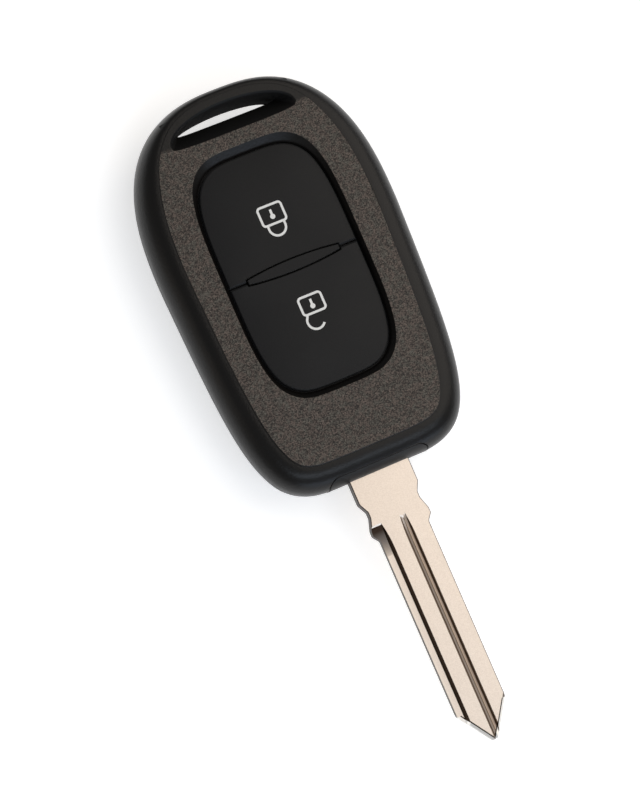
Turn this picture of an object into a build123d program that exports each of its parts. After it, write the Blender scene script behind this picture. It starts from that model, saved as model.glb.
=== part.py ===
"""Two-button car remote key with a fixed blade, lying on its back.

The row frame: +Z is up, out of the button face. +Y points to the key-ring end, so the blade points
to -Y. +X is to the right, seen from above. The origin is under the middle of the key, on the surface
that its back rests on. All sizes are millimetres.

The head is two shells that clip together round a circuit board. A rubber pad frames two press keys,
each key pushes the plunger of a tact switch, and a moulded carrier holds the root of the blade.
"""
from build123d import *
from math import cos, hypot, radians, sin
import os

# Driving sizes of the whole key
overall_length = 113.0
head_length = 66.9
head_width = 41.5
head_thickness = 13.0
parting_height = 8.5        # where the front and rear shells meet

# Outline of the head, seen from above
widest_from_ring_end = 26.5
ring_roundness = 2.6        # 2 is an ellipse, and a larger power is squarer
blade_roundness = 5.0
blade_taper = 0.08          # share of the width lost towards the blade end
taper_bend = 1.15

# Rounded border and the grained plateau inside it
border_side = 4.05
border_blade = 4.25
border_ring = 1.6
plateau_ledge = 0.3
step_blade = 0.34           # height of the plateau's step at the blade end
step_ring = 0.05
plateau_chamfer = 0.14

# Rear shell, which sweeps up towards the ring end
rear_inset_side = 6.0
rear_inset_ring = 22.5
rear_inset_blade = 2.5
back_bend = 2.5             # how late the back's ends curve in

# Walls, lip and seams
face_wall = 1.5
floor_wall = 1.5
front_wall = 1.5
rear_wall = 2.5
lip_inset = 1.7             # the lip stands this far inside the widest line
lip_wall = 1.1
lip_height = 0.7
lip_root = 0.3
seam = 0.1                  # clearance between fixed parts that only meet
groove_height = 0.16        # fine groove along the parting line
groove_depth = 0.2

# Key-ring slot, with a ramp down to a narrow throat
ring_bar = 3.15
slot_width = 21.2
slot_height = 4.6
slot_end_height = 0.75
slot_roundness = 2.0
slot_chamfer = 0.3
throat_width = 17.2
throat_height = 2.1
throat_end_height = 0.4
throat_level = 9.4
slot_lean = 0.25            # the upper wall leans out this much on its way to the back
slot_wall = 1.5             # plastic between the slot and the hollow of the head

# Window round the keys
window_width = 23.94
window_length = 42.05
window_from_ring_end = 10.45
window_roundness = 4.0
bevel_side = 0.65
bevel_ring = 1.4
bevel_blade = 1.0
bevel_depth = 1.25

# Rubber pad and its two keys
key_drop = 0.8              # the key tops lie this far below the plateau
key_gap = 0.22
key_thickness = 2.0
key_parting = 0.2           # gap between the two keys
keys_middle_from_ring_end = 31.42
key_travel = 0.4
key_edge_radius = 0.3
flange_reach = 0.7
flange_thickness = 0.9
flange_clearance = 0.3
pad_gap = 0.2
pad_wall = 1.0
pad_web = 0.7
pad_web_clearance = 0.05
divider_length = 15.8
divider_width = 1.83
divider_end = 0.7
divider_rise = 0.2
divider_gap = 0.28
nub_radius = 1.6
nub_gap = 0.25

# Padlock symbols, let into the key tops
symbol_stroke = 0.38
symbol_depth = 0.15
symbol_corner = 0.5
lock_body_width = 4.4
lock_body_height = 3.5
lock_body_from_parting = 7.05
shackle_half_width = 1.4
shackle_height = 2.05
open_shackle_foot = 1.2     # the open shackle's foot, knee, crown and free end, from the foot line
open_shackle_knee = (-1.6, 0.7)
open_shackle_crown = (-0.45, 2.65)
open_shackle_end = (0.86, 2.05)
unlock_body_width = 4.25
unlock_body_height = 3.28
unlock_body_from_parting = 5.22
unlock_body_shift = 0.17
keyhole_radius = 0.42
keyhole_width = 0.4
keyhole_length = 1.2

# Circuit board and the posts that carry it
board_level = 6.2
board_thickness = 1.0
board_width = 29.0
board_corner = 4.0
board_gap = 0.3
board_blade_margin = 1.1
post_radius = 1.5
peg_radius = 0.7
peg_rise = 0.5
peg_gap = 0.05
post_inset = 2.6

# Tact switches
lock_switch_from_ring_end = 22.5
unlock_switch_from_ring_end = 40.3
switch_side = 5.2
switch_height = 1.1
switch_base = 0.3
switch_cup_radius = 1.9
cover_thickness = 0.15
cover_inset = 0.1
plunger_radius = 1.0
plunger_rise = 0.45
plunger_foot_radius = 1.5
plunger_foot_height = 0.25
plunger_foot_gap = 0.1
plunger_fit = 0.08
dome_radius = 1.7
dome_thickness = 0.12
press_gap = 0.12            # air between a key's nub and its plunger
terminal_width = 0.7
terminal_reach = 1.0
terminal_thickness = 0.2

# Coin cell and its contacts
cell_from_ring_end = 37.5
cell_radius = 10.0
cell_thickness = 3.2
cap_radius = 8.2
cap_thickness = 0.8
gasket_width = 0.7
gasket_height = 0.5
contact_sheet = 0.3
contact_width = 5.0
contact_floor_gap = 0.1
positive_length = 16.0
negative_inset = 3.0
riser_gap = 0.4

# Blade
neck_width = 10.4
neck_length = 3.7
waist_width = 8.8
waist_from_head = 5.3
waist_length = 1.0
stop_width = 10.1
stop_from_head = 8.3
stop_length = 0.9
blade_width = 8.4
blade_from_head = 10.3
blade_thickness = 2.2
blade_middle = 8.25         # height of the blade's mid plane
blade_corner = 0.8
blade_edge = 0.12
tip_length = 5.5
tip_width = 1.0
tip_bevel = 0.5
tip_bevel_depth = 0.45
ledge_from_axis = 2.65
ledge_slope = 0.5
ledge_depth = 0.85
channel_from_axis = 0.6
channel_width = 1.5
channel_depth = 0.65
channel_slope = 0.3
channel_crown = 0.1
cutter_radius = 13.0
cutter_from_head = 7.6      # where the milling begins

# Blade carrier and its pin
carrier_width = 17.1
carrier_bottom = 4.6
carrier_top = 11.65
carrier_board_gap = 3.4
carrier_back_wall = 1.5
carrier_corner = 1.7
collar_seam = 0.18          # clearance all round the carrier in its pocket
carrier_fit = 0.05
pedestal_width = 12.0
pin_radius = 1.0
pin_cover = 1.1
nose_inset = 0.1            # the carrier's flat nose lies this far inside the head's curved end

# Parts on the board
chip_length = 6.5
chip_width = 4.4
chip_height = 1.0
chip_lift = 0.1
lead_count = 8
lead_pitch = 0.65
lead_width = 0.25
lead_reach = 0.8
lead_thickness = 0.15
crystal_size = (3.2, 2.5, 0.8)
crystal_from_axis = 7.8
passive_size = (1.6, 0.8, 0.6)
passive_pitch = 1.9
passive_count = 3
passive_from_axis = 7.2
coil_length = 11.0
coil_width = 3.0
coil_height = 2.0
coil_flange = 1.2
coil_core_share = 0.45
winding_gap = 0.15
coil_from_ring_end = 20.5

# How finely the smooth outlines are drawn, and how far a cutting solid runs past what it cuts
head_points = 48
window_points = 32
slot_points = 60
cut_margin = 1.0

# Places that follow from the driving sizes
ring_end = overall_length / 2
tip_end = -overall_length / 2
head_end = ring_end - head_length
widest = ring_end - widest_from_ring_end
half_width = head_width / 2
ceiling = head_thickness - face_wall
window_top = ring_end - window_from_ring_end
window_middle = window_top - window_length / 2
opening_top = window_top - bevel_ring
opening_bottom = window_top - window_length + bevel_blade
opening_middle = (opening_top + opening_bottom) / 2
opening_half = (opening_top - opening_bottom) / 2
opening_side = window_width / 2 - bevel_side
keys_middle = ring_end - keys_middle_from_ring_end
key_top = head_thickness - key_drop
key_bottom = key_top - key_thickness
flange_top = ceiling - flange_clearance
web_top = key_bottom - key_travel - pad_web_clearance
web_bottom = web_top - pad_web
flange_space = flange_reach + pad_gap
slot_foot = ring_end - ring_bar - slot_height
hollow_end = slot_foot - slot_wall
board_top = board_level + board_thickness
board_ring_end = hollow_end - board_gap
board_blade_end = opening_bottom - flange_space - pad_wall - board_blade_margin
board_length = board_ring_end - board_blade_end
board_middle = (board_ring_end + board_blade_end) / 2
cover_top = board_top + switch_height + cover_thickness
plunger_top = cover_top + plunger_rise
nub_bottom = plunger_top + press_gap
lock_switch_y = ring_end - lock_switch_from_ring_end
unlock_switch_y = ring_end - unlock_switch_from_ring_end
carrier_end = board_blade_end - carrier_board_gap
carrier_depth = carrier_end - head_end
head_root = carrier_end - carrier_back_wall
tang_length = head_root - head_end
pin_y = (head_end + head_root) / 2
contact_level = floor_wall + contact_floor_gap
cell_level = contact_level + contact_sheet
cell_top = cell_level + cell_thickness
cell_middle = ring_end - cell_from_ring_end
blade_top = blade_middle + blade_thickness / 2
blade_level = blade_middle - blade_thickness / 2

parts_folder = "parts"
os.makedirs(parts_folder, exist_ok=True)


def save(builder, label):
    """Label a finished piece and write it as its own file."""
    builder.part.label = label
    export_step(builder.part, f"{parts_folder}/{label}.step")


def oval_point(half, above, below, power_above, power_below, turn):
    """Point on a rounded outline that is widest at height 0, and squarer as its powers grow."""
    across = cos(radians(turn))
    along = sin(radians(turn))
    reach, power = (above, power_above) if along > 0 else (below, power_below)
    stretch = (abs(across) ** power + abs(along) ** power) ** (-1 / power)
    return half * across * stretch, reach * along * stretch


def even_turns(point, count, fine=1440):
    """Turns at which a closed outline has points that lie the same way apart."""
    track = [point(360 * i / fine) for i in range(fine + 1)]
    way = [0.0]
    for (x1, y1), (x2, y2) in zip(track, track[1:]):
        way.append(way[-1] + hypot(x2 - x1, y2 - y1))
    turns = []
    index = 0
    for step in range(count):
        goal = way[-1] * step / count
        while way[index + 1] < goal:
            index += 1
        share = (goal - way[index]) / (way[index + 1] - way[index])
        turns.append(360 * (index + share) / fine)
    return turns


def head_point(turn):
    """Point on the widest line of the head, which narrows a little towards the blade."""
    below = widest - head_end
    x, y = oval_point(half_width, ring_end - widest, below, ring_roundness, blade_roundness, turn)
    share = max(0, -y / below)
    return x * (1 - blade_taper * share ** taper_bend), y + widest


head_turns = even_turns(head_point, head_points)


def head_ring(side, ring, blade):
    """Outline of the head moved inwards, by side at its flanks and by ring and blade at its ends."""
    points = []
    for turn in head_turns:
        x, y = head_point(turn)
        ahead = head_point(turn + 0.5)
        behind = head_point(turn - 0.5)
        normal_x = ahead[1] - behind[1]
        normal_y = behind[0] - ahead[0]
        size = hypot(normal_x, normal_y)
        end = ring if y > widest else blade
        inset = (side * normal_x ** 2 + end * normal_y ** 2) / size ** 2
        points.append((x - inset * normal_x / size, y - inset * normal_y / size))
    return points


def even_ring(inset):
    """Outline of the head moved inwards by the same amount all round."""
    return head_ring(inset, inset, inset)


def blend_ring(outer, inner, share):
    """Outline part of the way from one outline to another."""
    return [
        (x1 + share * (x2 - x1), y1 + share * (y2 - y1))
        for (x1, y1), (x2, y2) in zip(outer, inner)
    ]


def back_ring(side, ring, blade, wall):
    """Outline of the flat back, drawn in from the widest line by amounts that grow towards each end."""
    points = []
    for x, y in even_ring(wall):
        along = (y - head_end) / head_length
        inset = ring * along ** back_bend - blade * (1 - along) ** back_bend
        points.append((x * (1 - side / half_width), y - inset))
    return points


def window_point(turn, outset=0.0):
    """Point on the outline of the window's straight part, moved outwards by an outset."""
    side = opening_side + outset
    reach = opening_half + outset
    x, y = oval_point(side, reach, reach, window_roundness, window_roundness, turn)
    return x, y + opening_middle


window_turns = even_turns(window_point, window_points)


def window_ring(outset):
    """Outline of the window's straight part, moved outwards by an outset."""
    return [window_point(turn, outset) for turn in window_turns]


def rim_ring():
    """Outline of the window's rim, at the plateau."""
    points = []
    for turn in window_turns:
        reach = window_length / 2
        x, y = oval_point(window_width / 2, reach, reach, window_roundness, window_roundness, turn)
        points.append((x, y + window_middle))
    return points


def slot_point(turn, width, height, end_height, outset, lean):
    """Point on the outline of the key-ring slot: flat at its foot and arched at its crown."""
    foot = ring_end - ring_bar - height
    x, y = oval_point(
        width / 2 + outset,
        height - end_height + outset + lean,
        end_height + outset,
        slot_roundness,
        window_roundness,
        turn,
    )
    return x, y + foot + end_height


slot_turns = even_turns(
    lambda turn: slot_point(turn, slot_width, slot_height, slot_end_height, 0, 0),
    slot_points,
)


def slot_ring(width, height, end_height, outset, lean=0.0):
    """Outline of the key-ring slot."""
    return [slot_point(turn, width, height, end_height, outset, lean) for turn in slot_turns]


def pace_of(points):
    """Share of the way round a closed outline at each of its points, from 0 to 1."""
    closed = [*points, points[0]]
    steps = [hypot(x2 - x1, y2 - y1) for (x1, y1), (x2, y2) in zip(closed, closed[1:])]
    shares = [0.0]
    for step in steps:
        shares.append(shares[-1] + step / sum(steps))
    return shares


def ring_face(points, plane, pace=None):
    """Face inside one smooth closed outline, which passes its points at the given shares of its way."""
    spots = [Vector(x, y, 0) for x, y in points]
    with BuildSketch(plane) as ring:
        with BuildLine():
            add(Edge.make_spline(spots, periodic=True, parameters=pace or pace_of(points)))
        make_face()
    return ring.sketch


def lofted(rings, ruled=False):
    """Solid through a list of outlines, each with its plane, which all keep the first one's pace."""
    pace = pace_of(rings[0][0])
    faces = [ring_face(points, plane, pace) for points, plane in rings]
    with BuildPart() as body:
        loft(faces, ruled=ruled)
    return body.part


def level(height):
    """Flat plane at a height above the surface that the key lies on."""
    return Plane.XY.offset(height)


def slab(points, bottom, height):
    """Straight-sided solid on a smooth closed outline."""
    with BuildPart() as body:
        extrude(ring_face(points, level(bottom)), amount=height)
    return body.part


def front_plane(share):
    """Plane at a share of the border's height, which leans since the step is deeper at the blade."""
    low = parting_height + share * (head_thickness - step_blade - parting_height)
    high = parting_height + share * (head_thickness - step_ring - parting_height)
    slope = (high - low) / head_length
    return Plane(origin=(0, 0, low - slope * head_end), x_dir=(1, 0, 0), z_dir=(0, -slope, 1))


# Outer form of the front: a rounded border that rises from the widest line to the plateau's foot
ring_turns = (0, 15, 30, 45, 60, 75, 90)
front_rings = []
for turn in ring_turns:
    share = 1 - cos(radians(turn))
    ring = head_ring(
        (border_side - plateau_ledge) * share,
        (border_ring - plateau_ledge) * share,
        (border_blade - plateau_ledge) * share,
    )
    front_rings.append((ring, front_plane(sin(radians(turn)))))
front_form = lofted(front_rings)

# Outer form of the rear: from the widest line down to the flat back
girth = head_ring(0, 0, 0)
back = back_ring(rear_inset_side, rear_inset_ring, rear_inset_blade, 0)
rear_form = lofted([
    (blend_ring(girth, back, 1 - cos(radians(turn))), level(parting_height * (1 - sin(radians(turn)))))
    for turn in reversed(ring_turns)
])

# Hollow of the front, one wall inside the border and under the plateau
front_hollow_rings = []
for turn in ring_turns:
    share = 1 - cos(radians(turn))
    ring = head_ring(
        front_wall + border_side * share,
        front_wall + border_ring * share,
        front_wall + border_blade * share,
    )
    height = parting_height + (ceiling - parting_height) * sin(radians(turn))
    front_hollow_rings.append((ring, level(height)))
front_hollow = lofted(front_hollow_rings)

# Hollow of the rear
inner_girth = head_ring(rear_wall, rear_wall, rear_wall)
inner_back = back_ring(rear_inset_side, rear_inset_ring, rear_inset_blade, rear_wall)
rear_hollow = lofted([
    (
        blend_ring(inner_girth, inner_back, 1 - cos(radians(turn))),
        level(parting_height - (parting_height - floor_wall) * sin(radians(turn))),
    )
    for turn in reversed(ring_turns)
])

# Window: a bevel from the rim down to a straight opening
window_cut = lofted(
    [
        (rim_ring(), level(head_thickness + cut_margin)),
        (rim_ring(), level(head_thickness)),
        (window_ring(0), level(head_thickness - bevel_depth)),
        (window_ring(0), level(parting_height)),
    ],
    ruled=True,
)

# Key-ring slot: an edge chamfer, a ramp down to the throat, and the throat out to the back
slot_rim = slot_ring(slot_width, slot_height, slot_end_height, slot_chamfer)
slot_cut = lofted(
    [
        (slot_rim, level(head_thickness + cut_margin)),
        (slot_rim, level(head_thickness)),
        (slot_ring(slot_width, slot_height, slot_end_height, 0), level(head_thickness - slot_chamfer)),
        (slot_ring(throat_width, throat_height, throat_end_height, 0), level(throat_level)),
        (slot_ring(throat_width, throat_height, throat_end_height, 0, slot_lean), level(-cut_margin)),
    ],
    ruled=True,
)

# Fine groove that shows as a line between the shells
groove_level = parting_height - groove_height / 2
with BuildPart() as parting_groove:
    add(slab(even_ring(-cut_margin), groove_level, groove_height))
    add(slab(even_ring(groove_depth), groove_level, groove_height), mode=Mode.SUBTRACT)

# Pocket for the blade carrier, through both shells and out of the blade end
with BuildPart() as carrier_pocket:
    with BuildSketch(Plane.XZ.offset(-carrier_end - seam)):
        with Locations((0, (carrier_bottom + carrier_top) / 2)):
            RectangleRounded(
                carrier_width + 2 * collar_seam,
                carrier_top - carrier_bottom + 2 * collar_seam,
                carrier_corner + collar_seam,
            )
    extrude(amount=carrier_depth + 2 * cut_margin)

# Plateau inside the border, with its top edge chamfered
plateau = lofted(
    [
        (head_ring(border_side, border_ring, border_blade), level(ceiling)),
        (head_ring(border_side, border_ring, border_blade), level(head_thickness - plateau_chamfer)),
        (
            head_ring(
                border_side + plateau_chamfer,
                border_ring + plateau_chamfer,
                border_blade + plateau_chamfer,
            ),
            level(head_thickness),
        ),
    ],
    ruled=True,
)

# Hollows as they are used: cut off before the solid plastic round the slot
hollow_limit = Plane.XZ.offset(-hollow_end)
with BuildPart() as front_room:
    add(front_hollow)
    split(bisect_by=hollow_limit, keep=Keep.TOP)
with BuildPart() as rear_room:
    add(rear_hollow)
    split(bisect_by=hollow_limit, keep=Keep.TOP)

# Front shell: window frame, grained plateau and rounded border
with BuildPart() as front_shell:
    add(front_form)
    add(plateau)
    add(front_room.part, mode=Mode.SUBTRACT)
    add(window_cut, mode=Mode.SUBTRACT)
    add(slot_cut, mode=Mode.SUBTRACT)
    add(carrier_pocket.part, mode=Mode.SUBTRACT)
    add(parting_groove.part, mode=Mode.SUBTRACT)
save(front_shell, "front_shell")

# Posts under the board, each with a peg through one of the board's holes, and the carrier's pedestal
post_places = [
    (side * (board_width / 2 - post_inset), place)
    for place in (board_blade_end + post_inset, board_ring_end - post_inset)
    for side in (-1, 1)
]
with BuildPart() as rear_supports:
    with BuildSketch(level(0)):
        with Locations(*post_places):
            Circle(post_radius)
    extrude(amount=board_level)
    with BuildSketch(level(0)):
        with Locations((0, head_end)):
            Rectangle(pedestal_width, carrier_depth - seam, align=(Align.CENTER, Align.MIN))
    extrude(amount=carrier_bottom + cut_margin)
    add(rear_form, mode=Mode.INTERSECT)

# Lip of the rear shell, which the front shell's wall clips round: a disc and the room inside it
with BuildPart() as lip_disc:
    add(slab(even_ring(lip_inset), parting_height - lip_root, lip_root + lip_height))
    split(bisect_by=Plane.XZ.offset(seam - hollow_end), keep=Keep.TOP)
with BuildPart() as lip_room:
    add(slab(even_ring(lip_inset + lip_wall), parting_height - lip_root, lip_root + 2 * lip_height))
    split(bisect_by=hollow_limit, keep=Keep.TOP)

# Rear shell: flat back that sweeps up to the slot
with BuildPart() as rear_shell:
    add(rear_form)
    add(parting_groove.part, mode=Mode.SUBTRACT)
    add(slot_cut, mode=Mode.SUBTRACT)
    add(lip_disc.part)
    add(lip_room.part, mode=Mode.SUBTRACT)
    add(rear_room.part, mode=Mode.SUBTRACT)
    add(rear_supports.part)
    with BuildSketch(level(board_level)):
        with Locations(*post_places):
            Circle(peg_radius)
    extrude(amount=board_thickness + peg_rise)
    add(carrier_pocket.part, mode=Mode.SUBTRACT)
save(rear_shell, "rear_shell")


def divider_face(outset):
    """Lens-shaped face of the bar between the keys."""
    half = divider_length / 2 + outset
    end = divider_end / 2 + outset
    crown = divider_width / 2 + outset
    with BuildSketch(level(web_top)) as bar:
        with BuildLine():
            ThreePointArc((-half, end), (0, crown), (half, end))
            Line((half, end), (half, -end))
            ThreePointArc((half, -end), (0, -crown), (-half, -end))
            Line((-half, -end), (-half, end))
        make_face()
    return bar.sketch.moved(Location((0, keys_middle, 0)))


# Padlock symbols as flat faces at the bottom of their pockets
symbol_plane = level(key_top - symbol_depth)
lock_middle = keys_middle + lock_body_from_parting + lock_body_height / 2
unlock_middle = keys_middle - unlock_body_from_parting - unlock_body_height / 2


def padlock_body(width, height, x, y):
    """Outline of a padlock's body and its keyhole, with the shackle's side towards the blade."""
    inner_corner = symbol_corner - symbol_stroke / 2
    with Locations((x, y)):
        RectangleRounded(width, height, symbol_corner + symbol_stroke / 2)
        RectangleRounded(
            width - 2 * symbol_stroke,
            height - 2 * symbol_stroke,
            inner_corner,
            mode=Mode.SUBTRACT,
        )
    keyhole_foot = y - keyhole_length / 2 + keyhole_radius / 2
    with Locations((x, keyhole_foot)):
        Circle(keyhole_radius)
        Rectangle(keyhole_width, keyhole_length, align=(Align.CENTER, Align.MIN))


with BuildSketch(symbol_plane) as lock_face:
    padlock_body(lock_body_width, lock_body_height, 0, lock_middle)
    foot = lock_middle - (lock_body_height - symbol_stroke) / 2
    bend = foot - shackle_height + shackle_half_width
    with BuildLine() as closed_shackle:
        Line((-shackle_half_width, foot), (-shackle_half_width, bend))
        ThreePointArc(
            (-shackle_half_width, bend),
            (0, bend - shackle_half_width),
            (shackle_half_width, bend),
        )
        Line((shackle_half_width, bend), (shackle_half_width, foot))
    trace(line_width=symbol_stroke)

with BuildSketch(symbol_plane) as unlock_face:
    padlock_body(unlock_body_width, unlock_body_height, unlock_body_shift, unlock_middle)
    foot = unlock_middle - (unlock_body_height - symbol_stroke) / 2
    with BuildLine() as open_shackle:
        leg = Line((-open_shackle_foot, foot), (open_shackle_knee[0], foot - open_shackle_knee[1]))
        ThreePointArc(
            leg @ 1,
            (open_shackle_crown[0], foot - open_shackle_crown[1]),
            (open_shackle_end[0], foot - open_shackle_end[1]),
        )
    trace(line_width=symbol_stroke)


# Both keys as one block with a rounded top edge, before they are parted
key_rings = [(window_ring(-key_gap), level(key_bottom))]
for turn in (0, 30, 60, 90):
    inset = key_edge_radius * (1 - cos(radians(turn)))
    height = key_top - key_edge_radius * (1 - sin(radians(turn)))
    key_rings.append((window_ring(-key_gap - inset), level(height)))
key_form = lofted(key_rings, ruled=True)


def press_key(side, nub_y, face):
    """One of the two keys, on the ring side (1) or blade side (-1) of the parting, with its nub."""
    with BuildPart() as half_space:
        with BuildSketch(level(0)):
            with Locations((0, keys_middle + side * (key_parting + window_length) / 2)):
                Rectangle(2 * window_width, window_length)
        extrude(amount=2 * head_thickness)
    with BuildPart() as body:
        add(key_form)
        with BuildSketch(Plane.YZ):
            with BuildLine():
                Polyline(
                    (keys_middle, key_top - key_edge_radius),
                    (keys_middle + side * (key_parting / 2 + key_edge_radius), key_top),
                    (keys_middle + side * (key_parting / 2 + key_edge_radius), key_top + cut_margin),
                    (keys_middle, key_top + cut_margin),
                    close=True,
                )
            make_face()
        extrude(amount=window_width, both=True, mode=Mode.SUBTRACT)
        add(half_space.part, mode=Mode.INTERSECT)
    with BuildPart() as flange:
        add(slab(window_ring(flange_reach), flange_top - flange_thickness, flange_thickness))
        add(half_space.part, mode=Mode.INTERSECT)
    with BuildPart() as key:
        add(body.part)
        add(flange.part)
        with BuildSketch(level(key_bottom)):
            with Locations((0, nub_y)):
                Circle(nub_radius)
        extrude(amount=nub_bottom - key_bottom)
        extrude(divider_face(divider_gap), amount=head_thickness, mode=Mode.SUBTRACT)
        extrude(face, amount=head_thickness, mode=Mode.SUBTRACT)
    return key


lock_button = press_key(1, lock_switch_y, lock_face.sketch)
save(lock_button, "lock_button")
unlock_button = press_key(-1, unlock_switch_y, unlock_face.sketch)
save(unlock_button, "unlock_button")

with BuildPart() as lock_symbol:
    extrude(lock_face.sketch, amount=symbol_depth)
save(lock_symbol, "lock_symbol")

with BuildPart() as unlock_symbol:
    extrude(unlock_face.sketch, amount=symbol_depth)
save(unlock_symbol, "unlock_symbol")

# Rubber pad: a wall between the board and the front shell, a web under the keys and the divider bar
with BuildPart() as button_pad:
    add(slab(window_ring(flange_space + pad_wall), board_top, ceiling - board_top))
    add(slab(window_ring(flange_space), board_top, ceiling - board_top), mode=Mode.SUBTRACT)
    add(slab(window_ring(flange_space + pad_wall / 2), web_bottom, pad_web))
    with BuildSketch(level(web_bottom)):
        with Locations((0, lock_switch_y), (0, unlock_switch_y)):
            Circle(nub_radius + nub_gap)
    extrude(amount=pad_web, mode=Mode.SUBTRACT)
    extrude(divider_face(0), amount=key_top + divider_rise - web_top)
save(button_pad, "button_pad")

# Blade: one flat outline, then grooves cut by disc cutters from both faces
neck_foot = head_end - neck_length
waist_start = head_end - waist_from_head
waist_foot = waist_start - waist_length
stop_start = head_end - stop_from_head
stop_foot = stop_start - stop_length
blade_start = head_end - blade_from_head
tip_start = tip_end + tip_length
with BuildPart() as key_blade:
    with BuildSketch(level(blade_level)):
        with BuildLine():
            Line((0, head_root), (neck_width / 2, head_root))
            FilletPolyline(
                (neck_width / 2, head_root),
                (neck_width / 2, neck_foot),
                (waist_width / 2, waist_start),
                (waist_width / 2, waist_foot),
                (stop_width / 2, stop_start),
                (stop_width / 2, stop_foot),
                (blade_width / 2, blade_start),
                (blade_width / 2, tip_start),
                (tip_width / 2, tip_end),
                (0, tip_end),
                radius=[
                    blade_corner, blade_corner, blade_corner, blade_corner,
                    stop_length / 3, blade_corner, blade_corner, tip_width / 4,
                ],
            )
            mirror(about=Plane.YZ)
        make_face()
    extrude(amount=blade_thickness)
    flat_edges = key_blade.edges().group_by(Axis.Z)[0] + key_blade.edges().group_by(Axis.Z)[-1]
    chamfer(flat_edges, length=blade_edge)

# Planes that bevel the tip's two slanted edges, on both faces of the blade
tip_run = (blade_width - tip_width) / 2
tip_slant = hypot(tip_run, tip_length)
tip_planes = [
    Plane(
        origin=(
            side * (blade_width / 2 - tip_bevel * tip_length / tip_slant),
            tip_start + tip_bevel * tip_run / tip_slant,
            blade_middle + face * blade_thickness / 2,
        ),
        z_dir=(
            side * tip_bevel_depth * tip_length / tip_slant,
            -tip_bevel_depth * tip_run / tip_slant,
            face * tip_bevel,
        ),
    )
    for side in (-1, 1)
    for face in (-1, 1)
]
with key_blade:
    for tip_plane in tip_planes:
        split(bisect_by=tip_plane, keep=Keep.BOTTOM)


def cutter(section, depth):
    """Path of a disc cutter with this section, which sinks in along an arc and runs out at the tip."""
    arc_foot = head_end - cutter_from_head - (2 * cutter_radius * depth - depth ** 2) ** 0.5
    work = Plane.XZ.offset(-arc_foot)
    disc_axis = Axis((0, arc_foot, blade_top - depth + cutter_radius), (1, 0, 0))
    with BuildPart() as tool:
        with BuildSketch(work) as tooth:
            with BuildLine():
                Polyline(*section, close=True)
            make_face()
        extrude(amount=overall_length)
        revolve(tooth.sketch, axis=disc_axis)
    return tool.part


above = blade_top + cut_margin
ledge_section = [
    (-blade_width, above),
    (-ledge_from_axis, above),
    (-ledge_from_axis, blade_top),
    (-ledge_from_axis - ledge_slope, blade_top - ledge_depth),
    (-blade_width, blade_top - ledge_depth),
]
channel_half = channel_width / 2
channel_section = [
    (channel_from_axis - channel_half, above),
    (channel_from_axis + channel_half, above),
    (channel_from_axis + channel_half, blade_top),
    (channel_from_axis + channel_half - channel_slope, blade_top - channel_depth),
    (channel_from_axis, blade_top - channel_depth + channel_crown),
    (channel_from_axis - channel_half + channel_slope, blade_top - channel_depth),
    (channel_from_axis - channel_half, blade_top),
]
cuts = [cutter(ledge_section, ledge_depth), cutter(channel_section, channel_depth)]
with BuildPart() as blade_tools:
    for cut in cuts:
        add(cut)
        add(cut.rotate(Axis((0, 0, blade_middle), (0, 1, 0)), 180))
with BuildPart(mode=Mode.PRIVATE) as pin_hole:
    with BuildSketch(level(carrier_bottom)):
        with Locations((0, pin_y)):
            Circle(pin_radius)
    extrude(amount=carrier_top - pin_cover - carrier_bottom)
with key_blade:
    add(blade_tools.part, mode=Mode.SUBTRACT)
    add(pin_hole.part, mode=Mode.SUBTRACT)
save(key_blade, "key_blade")

# Carrier: the moulded block that fills the pocket, rounded like the head's end, and holds the tang
nose_end = head_end + nose_inset
nose_front = border_blade - plateau_ledge
nose_rise = head_thickness - step_blade - parting_height
with BuildPart() as blade_carrier:
    with BuildSketch(Plane.XZ.offset(-carrier_end)):
        with Locations((0, (carrier_bottom + carrier_top) / 2)):
            RectangleRounded(carrier_width, carrier_top - carrier_bottom, carrier_corner)
    extrude(amount=carrier_depth)
    with BuildSketch(Plane.YZ):
        with BuildLine():
            front_nose = EllipticalCenterArc(
                (nose_end + nose_front, parting_height),
                nose_front,
                nose_rise,
                start_angle=90,
                arc_size=90,
            )
            rear_nose = EllipticalCenterArc(
                (nose_end + rear_inset_blade, parting_height),
                rear_inset_blade,
                parting_height,
                start_angle=180,
                arc_size=90,
            )
            Polyline(
                rear_nose @ 1,
                (carrier_end + nose_front, 0),
                (carrier_end + nose_front, parting_height + nose_rise),
                front_nose @ 0,
            )
        make_face()
    extrude(amount=carrier_width, both=True, mode=Mode.INTERSECT)
    with BuildSketch(level(blade_level - carrier_fit)):
        with Locations((0, head_root + carrier_fit)):
            Rectangle(
                neck_width + 2 * carrier_fit,
                tang_length + 2 * cut_margin,
                align=(Align.CENTER, Align.MAX),
            )
    extrude(amount=blade_thickness + 2 * carrier_fit, mode=Mode.SUBTRACT)
    add(pin_hole.part, mode=Mode.SUBTRACT)
save(blade_carrier, "blade_carrier")

# Pin through the carrier and the tang
with BuildPart() as carrier_pin:
    add(pin_hole.part)
    chamfer(carrier_pin.faces().sort_by(Axis.Z)[-1].edges(), length=pin_radius / 5)
save(carrier_pin, "carrier_pin")

# Circuit board, with a hole for each peg
with BuildPart() as circuit_board:
    with BuildSketch(level(board_level)):
        with Locations((0, board_middle)):
            RectangleRounded(board_width, board_length, board_corner)
        with Locations(*post_places):
            Circle(peg_radius + peg_gap, mode=Mode.SUBTRACT)
    extrude(amount=board_thickness)
save(circuit_board, "circuit_board")


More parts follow.
